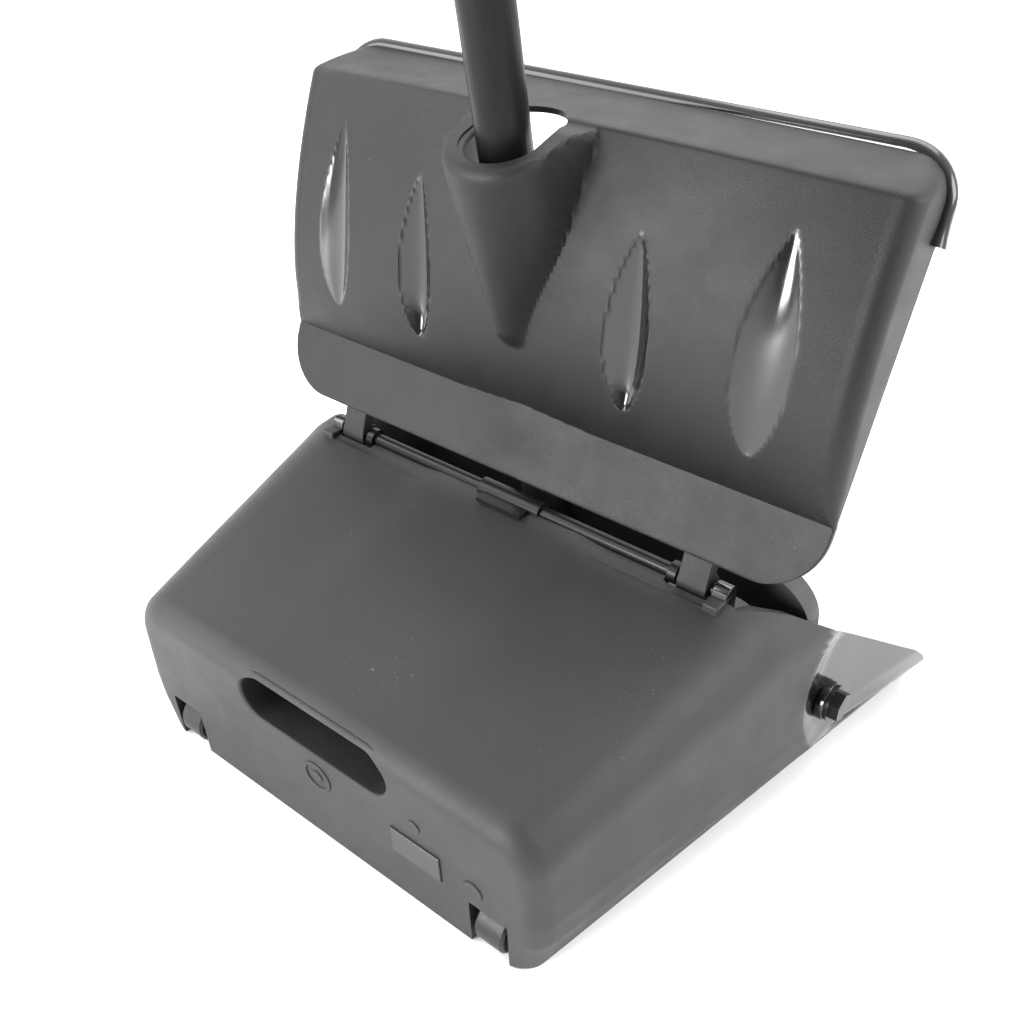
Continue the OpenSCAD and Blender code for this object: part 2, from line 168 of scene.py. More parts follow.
def moulded(name, base, rough, polish_attribute=False, dust=0.5, grain=2600.0, specular=0.28):
    """Moulded plastic: fine spark-eroded texture, faint mottling, dust and hairline scuffs.
    Where the mesh says polish, the texture gives way to a mirror-like finish."""
    n = Nodes(name)
    mottled = n.noise(14.0, 4.0, 0.55)
    fine = n.noise(grain, 2.0, 0.6)
    cloudy = n.noise(55.0, 5.0, 0.6)
    shade = n.spread(mottled, 0.3, 0.7, 0.86, 1.16)
    shade = n.math("MULTIPLY", shade, n.spread(fine, 0.25, 0.75, 0.84, 1.18))
    colour = n.mix(1.0, grey(base), grey(base))
    body = n.add("ShaderNodeVectorMath", operation="SCALE")
    n.link(colour, body.inputs[0])
    n.link(shade, body.inputs["Scale"])
    # Dust lies as tiny pale specks, and scuffs as thin pale lines
    specks = n.spread(n.noise(900.0, 1.0, 0.5), 0.73, 0.79, 0.0, 1.0)
    patches = n.spread(n.noise(16.0, 3.0, 0.6), 0.52, 0.68, 0.0, 1.0)
    dusty = n.math("MULTIPLY", n.math("MULTIPLY", specks, patches), dust)
    lines = n.spread(n.noise(60.0, 6.0, 0.7, stretch=(1.0, 0.05, 0.3)), 0.70, 0.76, 0.0, 0.16 * dust)
    worn = n.math("MAXIMUM", dusty, lines)
    rough_here = n.spread(cloudy, 0.3, 0.7, rough - 0.05, rough + 0.06)
    if polish_attribute:
        polish = n.attribute("polish")
        dull = n.math("SUBTRACT", 1.0, polish)
        worn = n.math("MULTIPLY", worn, dull)
        smooth = n.spread(n.noise(38.0, 3.0, 0.6), 0.3, 0.7, 0.07, 0.17)
        rough_here = n.math("ADD", n.math("MULTIPLY", rough_here, dull), n.math("MULTIPLY", smooth, polish))
        strength = n.math("MULTIPLY", dull, 0.42)
        tint = n.mix(polish, body.outputs[0], grey(0.006))
        last = n.mix(worn, tint, grey(0.2))
        shine = n.math("ADD", n.math("MULTIPLY", polish, 0.35), specular)
        n.link(shine, n.shader.inputs["Specular IOR Level"])
    else:
        strength = 0.42
        last = n.mix(worn, body.outputs[0], grey(0.2))
    n.link(last, n.shader.inputs["Base Color"])
    n.link(rough_here, n.shader.inputs["Roughness"])
    n.link(n.bump(fine, strength, 0.00035), n.shader.inputs["Normal"])
    n.shader.inputs["Specular IOR Level"].default_value = specular
    return n.mat


def coated(name, base, rough, metallic=0.0, grain=700.0, streak=(1.0, 1.0, 0.03), bump=0.08,
           specular=0.5):
    """Paint, plating or smooth plastic: fine streaks along the length and small changes of gloss."""
    n = Nodes(name)
    streaks = n.noise(grain, 3.0, 0.6, stretch=streak)
    cloudy = n.noise(45.0, 4.0, 0.6)
    fac = n.spread(n.math("MULTIPLY", streaks, n.spread(cloudy, 0.2, 0.8, 0.8, 1.2)), 0.3, 0.7, 0.0, 1.0)
    tone = n.mix(fac, grey(base * 0.8), grey(base * 1.25))
    scuffs = n.spread(n.noise(260.0, 4.0, 0.7), 0.72, 0.80, 0.0, 0.35)
    n.link(n.mix(scuffs, tone, grey(min(0.5, base * 3 + 0.05))), n.shader.inputs["Base Color"])
    n.link(n.spread(cloudy, 0.3, 0.7, rough * 0.8, rough * 1.25), n.shader.inputs["Roughness"])
    n.link(n.bump(streaks, bump, 0.0003), n.shader.inputs["Normal"])
    n.shader.inputs["Metallic"].default_value = metallic
    n.shader.inputs["Specular IOR Level"].default_value = specular
    return n.mat


PAN_SKIN = moulded("pan_skin", 0.020, 0.47, polish_attribute=True)
LID_SKIN = moulded("lid_skin", 0.0075, 0.47, polish_attribute=True, dust=0.35)
# The yoke's base is lighter than the pan's: painted sheen, standing in for the light its satin face reflects
YOKE_SKIN = moulded("yoke_skin", 0.035, 0.46)
GLOSS = coated("gloss_black", 0.004, 0.17, bump=0.03)
ROLLER = moulded("roller_plastic", 0.014, 0.40, dust=0.8, grain=1800.0)
TUBE = coated("satin_black_paint", 0.004, 0.36, grain=420.0, specular=0.16)
ROD = coated("rod_black", 0.004, 0.30, specular=0.18)
BLACK_ZINC = coated("black_zinc", 0.012, 0.34, metallic=0.7)
ZINC = coated("zinc", 0.40, 0.32, metallic=1.0)
NYLON = moulded("nylon", 0.35, 0.45, dust=0.1)
JOINT = moulded("joint_plastic", 0.012, 0.38, dust=0.3, grain=1500.0)
GRIP = moulded("grip_rubber", 0.010, 0.62, dust=0.6, grain=1400.0)

CAD_LOOKS = {
    "hinge_rod": ROD, "rod_clip": ROD, "rod_collars": ROD, "left_axle": BLACK_ZINC,
    "right_axle": BLACK_ZINC, "left_roller": ROLLER, "right_roller": ROLLER, "pivot_bolts": BLACK_ZINC,
    "pivot_bushes": NYLON, "pivot_washers": ZINC, "pivot_nuts": ZINC, "handle_yoke": YOKE_SKIN,
    "yoke_bolt": ZINC, "yoke_nut": ZINC, "lower_tube": TUBE, "joint_core": JOINT, "joint_collar": JOINT,
    "upper_tube": TUBE, "grip": GRIP, "end_cap": JOINT,
}
for node, look in CAD_LOOKS.items():
    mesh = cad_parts[node].data
    mesh.materials.clear()
    mesh.materials.append(look)

# ---- Mesh helpers -----------------------------------------------------------------------------


def new_object(name, points, faces, material=None):
    """A mesh object from points in millimetres, Y counted from the rear wall's foot."""
    mesh = bpy.data.meshes.new(name)
    moved = [((p[0]) / 1000, (p[1] - MID_Y) / 1000, p[2] / 1000) for p in points]
    mesh.from_pydata(moved, [], faces)
    mesh.validate()
    ob = bpy.data.objects.new(name, mesh)
    bpy.context.scene.collection.objects.link(ob)
    if material:
        mesh.materials.append(material)
    bm = bmesh.new()
    bm.from_mesh(mesh)
    bmesh.ops.remove_doubles(bm, verts=bm.verts, dist=1e-7)
    bmesh.ops.recalc_face_normals(bm, faces=bm.faces)
    bm.to_mesh(mesh)
    bm.free()
    return ob


def shell(name, outer, inner, material=None, polish=None, closed_start=False):
    """A wall between two grids of the same size. Grid rows run along the shape and columns across it.
    With closed_start the first rows are filled in, and the wall is open only at its last row."""
    rows, cols = outer.shape[:2]
    points = np.concatenate([outer.reshape(-1, 3), inner.reshape(-1, 3)])
    shift = rows * cols
    faces = []
    for j in range(rows - 1):
        for i in range(cols - 1):
            a, b = j * cols + i, (j + 1) * cols + i
            faces.append((a, a + 1, b + 1, b))
            faces.append((shift + a, shift + b, shift + b + 1, shift + a + 1))
    if closed_start:
        # Rows are closed loops: the last column joins the first
        for j in range(rows - 1):
            a, b = j * cols, (j + 1) * cols
            faces.append((a + cols - 1, a, b, b + cols - 1))
            faces.append((shift + a + cols - 1, shift + b + cols - 1, shift + b, shift + a))
        faces.append(tuple(range(cols - 1, -1, -1)))
        faces.append(tuple(shift + i for i in range(cols)))
    else:
        for j in range(rows - 1):
            for i in (0, cols - 1):
                a, b = j * cols + i, (j + 1) * cols + i
                faces.append((a, b, shift + b, shift + a) if i == 0 else (a, shift + a, shift + b, b))
        faces += [(i, shift + i, shift + i + 1, i + 1) for i in range(cols - 1)]
    last = (rows - 1) * cols
    faces += [(last + i, last + i + 1, shift + last + i + 1, shift + last + i) for i in range(cols - 1)]
    if closed_start:
        faces.append((last + cols - 1, last, shift + last, shift + last + cols - 1))
    mesh_ob = new_object(name, points, faces, material)
    return mesh_ob


def rings_solid(name, rings, material=None):
    """A closed solid through a list of closed rings of points."""
    cols = len(rings[0])
    points = [p for r in rings for p in r]
    faces = []
    for j in range(len(rings) - 1):
        for i in range(cols):
            a, b = j * cols + i, j * cols + (i + 1) % cols
            faces.append((a, b, b + cols, a + cols))
    faces.append(tuple(range(cols - 1, -1, -1)))
    faces.append(tuple((len(rings) - 1) * cols + i for i in range(cols)))
    return new_object(name, points, faces, material)


def circle(radius, count=48):
    return [(radius * math.cos(2 * math.pi * i / count), radius * math.sin(2 * math.pi * i / count))
            for i in range(count)]


def stadium(half_long, half_short, count=48):
    """Points of a stadium whose long side lies along the first axis."""
    core, half = half_long - half_short, count // 2
    points = []
    for side, start in ((1, -90), (-1, 90)):
        for i in range(half):
            a = math.radians(start + 180 * i / (half - 1))
            points.append((side * core + half_short * math.cos(a), half_short * math.sin(a)))
    return points


def bar_x(name, x0, x1, y, z, radius, count=48, soft=0.0):
    """A round bar along X, with its ends rounded off by soft."""
    stations = [(x0, radius - soft), (x0 + soft * 0.3, radius - soft * 0.3), (x0 + soft, radius),
                (x1 - soft, radius), (x1 - soft * 0.3, radius - soft * 0.3), (x1, radius - soft)]
    if not soft:
        stations = [(x0, radius), (x1, radius)]
    return rings_solid(name, [[(x, y + a, z + b) for a, b in circle(r, count)] for x, r in stations])


def block(name, lo, hi, soft=0.0):
    """A box with its upright and lying edges rounded off by soft."""
    bm = bmesh.new()
    bmesh.ops.create_cube(bm, size=1)
    size = Vector(hi) - Vector(lo)
    bmesh.ops.scale(bm, vec=size, verts=bm.verts)
    bmesh.ops.translate(bm, vec=(Vector(lo) + Vector(hi)) / 2, verts=bm.verts)
    if soft:
        bmesh.ops.bevel(bm, geom=bm.edges, offset=soft, segments=3, profile=0.5, affect="EDGES")
    points = [tuple(v.co) for v in bm.verts]
    faces = [tuple(v.index for v in f.verts) for f in bm.faces]
    bm.free()
    return new_object(name, points, faces)


def combine(ob, others, operation):
    """Joins or cuts a solid with others, which are used up."""
    for other in others:
        mod = ob.modifiers.new("bool", "BOOLEAN")
        mod.operation = operation
        mod.object = other
        mod.solver = "MANIFOLD"
        bpy.context.view_layer.update()
        dg = bpy.context.evaluated_depsgraph_get()
        made = bpy.data.meshes.new_from_object(ob.evaluated_get(dg))
        if len(made.polygons) == 0:
            mod.solver = "EXACT"
            bpy.context.view_layer.update()
            dg = bpy.context.evaluated_depsgraph_get()
            made = bpy.data.meshes.new_from_object(ob.evaluated_get(dg))
        ob.modifiers.clear()
        old = ob.data
        ob.data = made
        bpy.data.meshes.remove(old)
        bpy.data.objects.remove(other)


def finish_shading(ob, angle=32):
    """Smooth faces with sharp edges where the surface turns by more than the angle."""
    bm = bmesh.new()
    bm.from_mesh(ob.data)
    limit = math.radians(angle)
    for f in bm.faces:
        f.smooth = True
    for e in bm.edges:
        e.smooth = len(e.link_faces) == 2 and e.calc_face_angle(0) < limit
    bm.to_mesh(ob.data)
    bm.free()
    mod = ob.modifiers.new("weighted", "WEIGHTED_NORMAL")
    mod.keep_sharp = True


def paint_polish(ob, where):
    """Stores how polished each point is, from 0 to 1. where takes points in millimetres."""
    mesh = ob.data
    co = np.zeros(len(mesh.vertices) * 3)
    mesh.vertices.foreach_get("co", co)
    co = co.reshape(-1, 3) * 1000
    co[:, 1] += MID_Y
    layer = mesh.attributes.new("polish", "FLOAT", "POINT")
    layer.data.foreach_set("value", where(co[:, 0], co[:, 1], co[:, 2]).astype(np.float32))


# ---- Pan --------------------------------------------------------------------------------------


def foot_half(y):
    return REAR_HALF + FOOT_FLARE * y


def mid_half(y):
    return REAR_HALF + MID_EXTRA + MID_FLARE * y


def skin_z(y):
    return REAR_HEIGHT + min(y, HINGE_FOOT_Y) * (HINGE_Z - REAR_HEIGHT) / HINGE_FOOT_Y


def shoulder(y):
    return 20 + min(y, 170) * 0.09


def wing_ellipse(y, z):
    """Below 1 inside the polished front part of a wing."""
    return np.hypot(np.minimum(y - 225, 0) / 71, (z - 57) / 58)


def scoop(y, z):
    e = float(wing_ellipse(y, z))
    return 3.4 * float(ease((1 - e) / 0.22)) * (1 - 0.8 * float(ease((y - 195) / 75)))


MOUTH = [(SKIN_FRONT, 200), (SKIN_FRONT, LEDGE_Z + 0.6), (SKIN_FRONT + 6, 115), (147, 109.5), (180, 86),
         (236, 47), (250, 37.5), (260, 28.5), (267, 19), (270.5, 10), (273, 3.6), (280, 0.9), (280, -5)]


def mouth_y(z):
    """How far forward the pan reaches at height z."""
    for (y0, z0), (y1, z1) in zip(MOUTH, MOUTH[1:]):
        if z1 <= z <= z0:
            t = (z0 - z) / max(1e-6, z0 - z1)
            return y0 + (y1 - y0) * t
    return MOUTH[-1][0]


FLANK_STEPS, ARC_STEPS, FOOT_STEPS, CROWN_STEPS = 40, 14, 4, 22


def half_section(y, d, h):
    foot, mid = foot_half(y) - d, mid_half(y) - d
    r = max(6, shoulder(y) - d)
    flank_z = [5, 22, 36, h - r]
    flank_x = [foot, mid - 1.2, mid, mid - 1.5]
    points = [((foot - 4) * k / FOOT_STEPS, 0.0) for k in range(FOOT_STEPS)]
    for a in range(0, 91, 30):
        points.append((foot - 5 + 5 * math.sin(math.radians(a)), 5 - 5 * math.cos(math.radians(a))))
    for k in range(1, FLANK_STEPS + 1):
        z = 5 + (h - r - 5) * k / FLANK_STEPS
        t = np.interp(z, flank_z, flank_x)
        points.append((float(t) - scoop(y, z), z))
    for k in range(1, ARC_STEPS + 1):
        a = math.pi / 2 * k / ARC_STEPS
        z = h - r + r * math.sin(a)
        points.append((mid - 1.5 - r + r * math.cos(a) - scoop(y, z) * math.cos(a), z))
    x_end = points[-1][0]
    fade = float(ease((y - 12) / 60)) * float(ease((200 - y) / 60))
    for k in range(1, CROWN_STEPS + 1):
        x = x_end * (1 - k / CROWN_STEPS)
        hump = 1.3 * fade * float(ease((58 - x) / 22))
        points.append((x, h + hump * (0.4 if d else 1)))
    return points


def section(y, inset, wall, lift):
    """A whole closed cross-section, drawn in by inset (and by the wall's thickness)."""
    d = inset + wall
    half = [(x, max(z, lift)) for x, z in half_section(y, d, skin_z(y) - d)]
    return half + [(-x, z) for x, z in half[-2:0:-1]]


def pan_rows(wall, first_y, count):
    """Rows of points from the rear wall to the mouth, each line ending on the mouth's outline."""
    edge_r = 9.0 - wall
    back = [(first_y, edge_r + 5), (first_y, edge_r + 2)]
    back += [(first_y + edge_r * (1 - math.cos(math.radians(a))), edge_r * (1 - math.sin(math.radians(a))))
             for a in range(0, 90, 12)]
    lift = wall

    def point_row(y, inset):
        lean = REAR_LEAN * max(0.0, 1 - y / 120)
        return [(x, y - lean * z, z) for x, z in section(y, inset, wall, lift)]

    rows = [point_row(y, inset) for y, inset in back]
    start = first_y + edge_r
    reference = point_row(start, 0)
    ends = []
    for i in range(len(reference)):
        y_end = PAN_DEPTH
        for _ in range(12):
            y_end = 0.5 * y_end + 0.5 * mouth_y(point_at(y_end, wall, lift, i)[2])
        ends.append(y_end)
    for k in range(count + 1):
        t = k / count
        row = []
        for i, y_end in enumerate(ends):
            row.append(point_at(start + (y_end - start) * t, wall, lift, i))
        rows.append(row)
    return np.array(rows)


SECTION_CACHE = {}


def point_at(y, wall, lift, i):
    """One point of the cross-section at depth y."""
    key = (round(y * 2), wall)
    for step in (0, 1):
        if (key[0] + step, wall) not in SECTION_CACHE:
            SECTION_CACHE[(key[0] + step, wall)] = section((key[0] + step) / 2, 0, wall, lift)
    t = y * 2 - key[0]
    a, b = SECTION_CACHE[key][i], SECTION_CACHE[(key[0] + 1, wall)][i]
    x, z = a[0] + (b[0] - a[0]) * t, a[1] + (b[1] - a[1]) * t
    return (x, y - REAR_LEAN * max(0.0, 1 - y / 120) * z, z)


def flared_y(name, outline, y_surface, lean, depth, round_r, cz):
    """A cutter pushed along Y from a leaning wall, with its mouth rounded off by round_r."""
    rings = []
    for d, grow in [(-6, round_r)] + [
            (round_r * (1 - math.sin(math.radians(a))), round_r * (1 - math.cos(math.radians(a))))
            for a in range(90, -1, -15)] + [(depth, 0)]:
        ring = []
        for x, z in outline(grow if d >= 0 else round_r + 0.01):
            surface = y_surface - lean * (z + cz)
            ring.append((x, surface + d, z + cz))
        rings.append(ring)
    return rings_solid(name, rings)


def build_pan():
    rows = 110
    outer = pan_rows(0.0, 0.0, rows)
    inner = pan_rows(WALL, WALL, rows)
    pan = shell("pan_shell", outer, inner, PAN_SKIN, closed_start=True)
    adds = [
        block("ledge", (-ROD_END, SKIN_FRONT - 8, LEDGE_Z - 2.2), (ROD_END, SKIN_FRONT + 8.5, LEDGE_Z), 0.5),
        block("ledge_back", (-ROD_END, SKIN_FRONT - 8, LEDGE_Z - 1.4),
              (ROD_END, SKIN_FRONT - 0.05, LEDGE_Z + 2)),
        rings_solid("pocket", [[(x, y, z + HOLD_Z)
                                for x, z in stadium(HOLD_HALF_X + WALL, HOLD_HALF_Z + WALL)]
                               for y in (-3.2, HOLD_DEPTH + WALL)]),
    ]
    cuts = [
        flared_y("hand_hold", lambda g: stadium(HOLD_HALF_X + g, HOLD_HALF_Z + g, 64), 0.0, REAR_LEAN,
                 30, 1.6, HOLD_Z),
    ]
    for s in (-1, 1):
        adds.append(block(f"cheek{s}", (s * ROD_END - 3.8, HINGE_FOOT_Y - 12, LEDGE_Z - 6),
                          (s * ROD_END + 3.8, HINGE_FOOT_Y + 5, HINGE_Z + 0.5), 1.0))
        adds.append(bar_x(f"cheek_eye{s}", s * ROD_END - 3.7, s * ROD_END + 3.7, HINGE_FOOT_Y, HINGE_Z, 5,
                          soft=0.8))
        pad_x0, pad_x1 = sorted((s * WING_FACE, s * PAD_X))
        adds.append(bar_x(f"pad{s}", pad_x0, pad_x1, PIVOT_Y, PIVOT_Z, PAD_R, 64, 0.7))
        adds.append(block(f"roller_box{s}", (s * ROLLER_X - 12.6, 0.6, 0.2),
                          (s * ROLLER_X + 12.6, 26.6, 29.6), 1.2))
        cuts.append(block(f"notch{s}", (s * ROLLER_X - 10, -20, -5), (s * ROLLER_X + 10, 24, 27), 1.0))
        lug_x0, lug_x1 = sorted((s * NOTCH_IN, s * NOTCH_OUT))
        cuts.append(bar_x(f"lug_room{s}", lug_x0, lug_x1, HINGE_FOOT_Y, HINGE_Z, 7.1))
        cuts.append(block(f"lug_way{s}", (lug_x0, HINGE_FOOT_Y, HINGE_Z - 12),
                          (lug_x1, HINGE_FOOT_Y + 20, HINGE_Z + 6)))
        bolt_x0, bolt_x1 = sorted((s * 130, s * 170))
        cuts.append(bar_x(f"bolt_hole{s}", bolt_x0, bolt_x1, PIVOT_Y, PIVOT_Z, 4.05))
    cuts.append(bar_x("rod_hole", -ROD_END - 3.3, ROD_END + 3.3, HINGE_FOOT_Y, HINGE_Z, ROD_R))
    combine(pan, adds, "UNION")
    combine(pan, cuts, "DIFFERENCE")
    # Marks on the rear wall: a ring, a plain raised plate and two plain discs
    marks = []
    for name, x, z, r0, r1 in (("ring", 0, 42.5, 6.6, 8.2), ("ring_dot", 0, 42.5, 0, 3.2),
                               ("disc_a", 58, 53.5, 0, 3.4), ("disc_b", 88, 37, 0, 5.0)):
        y_face = -REAR_LEAN * z
        profile = [(r0, 1.0), (r0, -0.35), (r0 + 0.25, -0.55), (r1 - 0.25, -0.55), (r1, -0.35), (r1, 1.0)]
        if r0 == 0:
            profile = [(r1, 1.0), (r1, -0.35), (r1 - 0.25, -0.55)]
            rings = [[(x + a, y_face + dy - REAR_LEAN * b, z + b) for a, b in circle(r, 40)]
                     for r, dy in profile]
            marks.append(rings_solid(name, rings))
        else:
            rings = [[(x + r * math.cos(t), y_face + dy - REAR_LEAN * r * math.sin(t), z + r * math.sin(t))
                      for r, dy in profile] for t in [2 * math.pi * k / 48 for k in range(48)]]
            cols = len(profile)
            points = [p for ring in rings for p in ring]
            faces = [((k * cols + i), (k * cols + (i + 1) % cols), (((k + 1) % 48) * cols + (i + 1) % cols),
                      (((k + 1) % 48) * cols + i)) for k in range(48) for i in range(cols)]
            marks.append(new_object(name, points, faces))
    y_plate = -REAR_LEAN * 36
    marks.append(rings_solid("plate", [
        [(57.5 + x, y_plate + dy - REAR_LEAN * z, 36 + z) for x, z in
         ((-13.5 + g, -7.5 + g), (13.5 - g, -7.5 + g), (13.5 - g, 7.5 - g), (-13.5 + g, 7.5 - g))]
        for dy, g in ((1.0, 0), (-0.6, 0), (-0.9, 0.3))]))
    combine(pan, marks, "UNION")
    pan.name = "pan_looks"

    def polished(x, y, z):
        wing = ease((1.0 - wing_ellipse(y, z)) / 0.03) * (np.abs(x) > foot_half(y) - 6) * (z > -1)
        channel = (y > SKIN_FRONT - 0.6) * (y < SKIN_FRONT + 10) * (z > LEDGE_Z - 3) * (np.abs(x) < 119)
        plate = 0.55 * (np.abs(x - 57.5) < 13.3) * (np.abs(z - 36) < 7.3) * (y < -REAR_LEAN * z - 0.7)
        return np.clip(wing + channel + plate, 0, 1)

    paint_polish(pan, polished)
    finish_shading(pan)
    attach(pan, "pan")
    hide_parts("pan_body")
    return pan


# ---- Lid --------------------------------------------------------------------------------------


def lid_point(x, u, v):
    """From the lid's own frame: across, from the hinge to the free edge, and out of its back."""
    c, s = math.cos(LID_ANGLE), math.sin(LID_ANGLE)
    return (x, HINGE_FOOT_Y + u * c - v * s, HINGE_Z + u * s + v * c)


def lid_coords(y, z):
    c, s = math.cos(LID_ANGLE), math.sin(LID_ANGLE)
    dy, dz = y - HINGE_FOOT_Y, z - HINGE_Z
    return dy * c + dz * s, -dy * s + dz * c


APRON_V, APRON_T, SKIRT_V, APRON_U = 8.8, 3.0, 7.0, 12.0
END_U, CORNER_R = 168.0, 20.0
# Across, lower end, upper end, half width, depth. The outer ones clear the yoke when the lid is shut
HOLLOWS = ((57, 62, 134, 10.2, 9.0), (114, 62, 149, 11.8, 3.4))
DIMPLES = [(s * x, *rest) for s in (-1, 1) for x, *rest in HOLLOWS]


def smooth_max(a, b, k):
    h = np.clip(0.5 + 0.5 * (a - b) / k, 0, 1)
    return b + (a - b) * h + k * h * (1 - h)


def smooth_min(a, b, k):
    return -smooth_max(-a, -b, k)


def dimple(x, u):
    """Depth and edge of the polished hollows. The second value is above 0 inside their outlines."""
    depth, inside = np.zeros_like(x), np.full_like(x, -1.0)
    for cx, u0, u1, half, deepest in DIMPLES:
        t = (u - u0) / (u1 - u0)
        ok = (t > 0) & (t < 1)
        tc = np.clip(t, 1e-4, 1 - 1e-4)
        # Blunt at the lower end and drawn out at the upper one
        width = half * np.sin(math.pi * tc ** 0.74) ** 0.80
        side = 1 - np.abs(x - cx) / np.maximum(width, 0.1)
        deep = deepest * np.clip(np.sin(math.pi * tc ** 0.72), 0, 1) ** 0.9
        bowl = 1 - (1 - np.clip(side, 0, 1)) ** 2.1
        here = np.where(ok, deep * bowl, 0)
        depth = np.maximum(depth, here)
        inside = np.maximum(inside, np.where(ok, side * width, -1.0))
    return depth, inside


def lid_width(u):
    """Half the lid's width at distance u from the hinge."""
    low = 28 - np.sqrt(np.maximum(0, 28 ** 2 - np.maximum(0, APRON_U + 28 - u) ** 2))
    high = CORNER_R - np.sqrt(np.maximum(0, CORNER_R ** 2 - np.clip(u - END_U, 0, CORNER_R - 0.7) ** 2))
    return LID_HALF - np.where(u < 50, low, 0) - np.where(u > END_U, high, 0)


def hood_back(x, u):
    """Height of the lid's back without its hollows."""
    start = 45.0
    t = np.clip((u - start) / (167 - start), 0, 1)
    # The rise starts with a finite slope, so that the crease stays clean
    rise = ((t + 0.012) ** 0.62 - 0.012 ** 0.62) / (1.012 ** 0.62 - 0.012 ** 0.62)
    across = 45 - 17 * np.minimum(1, np.abs(x) / 150) ** 2.2
    # The apron bulges a little in its middle, where the tube passes close behind it
    apron = APRON_V + 3.4 * np.exp(-(x / 24) ** 2) * ease((u - 16) / 26)
    swell = np.maximum(apron, APRON_V + across * np.sin(math.pi / 2 * rise))
    top = APRON_V + across
    fall = 10.2 + (top - 10.2) * (187.2 - u) / (187.2 - END_U)
    hood = smooth_min(swell, np.where(u > 140, fall, 200), 3.0)
    return np.maximum(hood, APRON_V)


def collar_back(x, u):
    """Height of the half-cone boss and its thick round collar."""
    zc = PIVOT_Z + COLLAR_T * math.cos(LEAN)
    yc = PIVOT_Y - COLLAR_T * math.sin(LEAN)
    uc, vc = lid_coords(yc, zc)
    # The slot's axis and its fore-aft direction in the lid's frame
    tilt = SLOT_TILT
    along_u = math.cos(LID_ANGLE) * -math.sin(tilt) + math.sin(LID_ANGLE) * math.cos(tilt)
    along_v = math.sin(LID_ANGLE) * math.sin(tilt) + math.cos(LID_ANGLE) * math.cos(tilt)
    slope = along_v / along_u
    tip = ease((u - 70) / 64)
    radius = 7.5 + 17.3 * tip
    centre_q = SLOT_HALF - SLOT_BACK
    drop_x = radius - np.sqrt(np.maximum(0, radius ** 2 - np.minimum(np.abs(x), radius) ** 2))
    past = np.maximum(0, np.abs(x) - radius)
    ridge = vc + ((u - uc) * along_v - centre_q + 24.8) / along_u
    side = ridge - drop_x / along_u - past * 8
    plane = vc + 3.0 - (u - uc) * along_u / along_v
    # The front of the ring sinks into the lid's top edge
    return smooth_min(side, plane, 7.5) - 26 * ease((u - 160) / 16)


def lid_back(x, u):
    base = hood_back(x, u)
    depth, _ = dimple(x, u)
    collar = collar_back(x, u)
    near = ease((u - 66) / 12)
    collar = np.where(near > 0, collar - (1 - near) * 20, -50)
    joined = smooth_max(base, collar, 3.0 + 1.5 * ease((u - 90) / 30))
    return np.where(collar > base - 9, joined, base) - depth


ACROSS, ARC, SKIRT = 220, 9, 5


